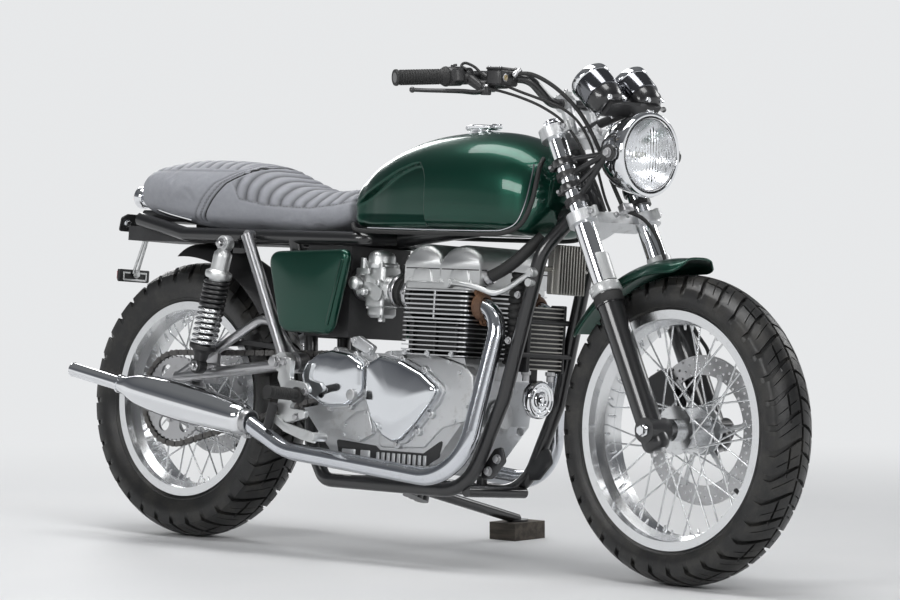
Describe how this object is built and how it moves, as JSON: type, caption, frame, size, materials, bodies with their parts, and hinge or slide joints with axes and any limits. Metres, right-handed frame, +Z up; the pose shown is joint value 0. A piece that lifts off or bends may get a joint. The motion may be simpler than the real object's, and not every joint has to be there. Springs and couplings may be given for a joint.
{
  "type": "cafe racer motorcycle",
  "caption": "Cafe racer motorcycle with an air-cooled twin, round lamp, long seat with a hump and wire wheels, leaning on its side stand.",
  "frame": {"origin": "centre of the floor area of the parked machine, on the floor", "axes": "+X to the front, +Y to the rider's left, +Z up"},
  "size_m": [2.1502, 0.8467, 1.1521],
  "materials": {
    "alloy": "cast, satin",
    "black_metal": "satin black",
    "black_plastic": "matte",
    "black_rubber": "matte",
    "chrome": "bright",
    "frame_black": "gloss black",
    "gauge": "gloss black cups",
    "green_paint": "metallic gloss",
    "grey_paint": "satin light grey",
    "lens": "clear, fluted",
    "polished": "polished",
    "red_lens": "translucent red",
    "seat_leather": "light grey, stitched",
    "steel": "brushed",
    "tyre": "dull with brown dust",
    "wood": "dark stained"
  },
  "bodies": {
    "chassis": {"air_box": "black_plastic", "alternator_cover": "polished", "cam_cover": "alloy", "carburettors": "alloy", "clutch_cover": "polished", "crankcase": "alloy", "cylinder_block": "black_metal", "cylinder_head": "black_metal", "drive_chain": "steel", "exhaust_headers": "chrome", "footrests": "alloy", "frame": "frame_black", "fuel_cap": "chrome", "fuel_tank": "green_paint", "horn": "chrome", "oil_cooler": "black_metal", "plate_bracket": "black_metal", "rear_axle": "steel", "rear_caliper": "black_metal", "rear_mudguard": "black_plastic", "rear_stays": "grey_paint", "regulator": "black_metal", "seat": "seat_leather", "shocks": "polished", "side_covers": "green_paint", "silencers": "chrome", "sprocket_cover": "polished", "swingarm": "black_metal", "tail_lamp": "red_lens", "under_tray": "black_plastic"},
    "steering": {"bar_controls": "black_metal", "fork_sliders": "black_metal", "fork_tubes": "chrome", "fork_yokes": "alloy", "front_axle": "steel", "front_caliper": "black_metal", "front_mudguard": "green_paint", "gauge_bracket": "black_metal", "gauges": "gauge", "grips": "black_rubber", "handlebar": "black_metal", "headlamp_lens": "lens", "headlamp_shell": "chrome", "lamp_brackets": "black_metal"},
    "front_wheel": {"front_disc": "steel", "front_hub": "alloy", "front_rim": "polished", "front_tyre": "tyre"},
    "rear_wheel": {"rear_disc": "steel", "rear_hub": "alloy", "rear_rim": "polished", "rear_sprocket": "steel", "rear_tyre": "tyre"},
    "stand": {"side_stand": "black_metal", "stand_block": "wood"}
  },
  "joints": [
    {"name": "steering_turn", "type": "hinge", "parent": "chassis", "child": "steering", "pos_m": [0.37836, -0.02898, 0.91448], "axis": [-0.4541, 0.0746, 0.8878], "range_deg": [-29.2, 36.8]},
    {"name": "front_wheel_spin", "type": "hinge", "parent": "steering", "child": "front_wheel", "pos_m": [0.74567, -0.08213, 0.32964], "axis": [0.0591, 0.9968, -0.0535], "continuous": true},
    {"name": "rear_wheel_spin", "type": "hinge", "parent": "chassis", "child": "rear_wheel", "pos_m": [-0.74421, -0.07862, 0.32316], "axis": [0, 0.9965, -0.0837], "continuous": true},
    {"name": "stand_fold", "type": "hinge", "parent": "chassis", "child": "stand", "pos_m": [-0.13218, 0.04035, 0.13865], "axis": [-0.1007, 0.3533, 0.9301], "range_deg": [0, 84]}
  ]
}
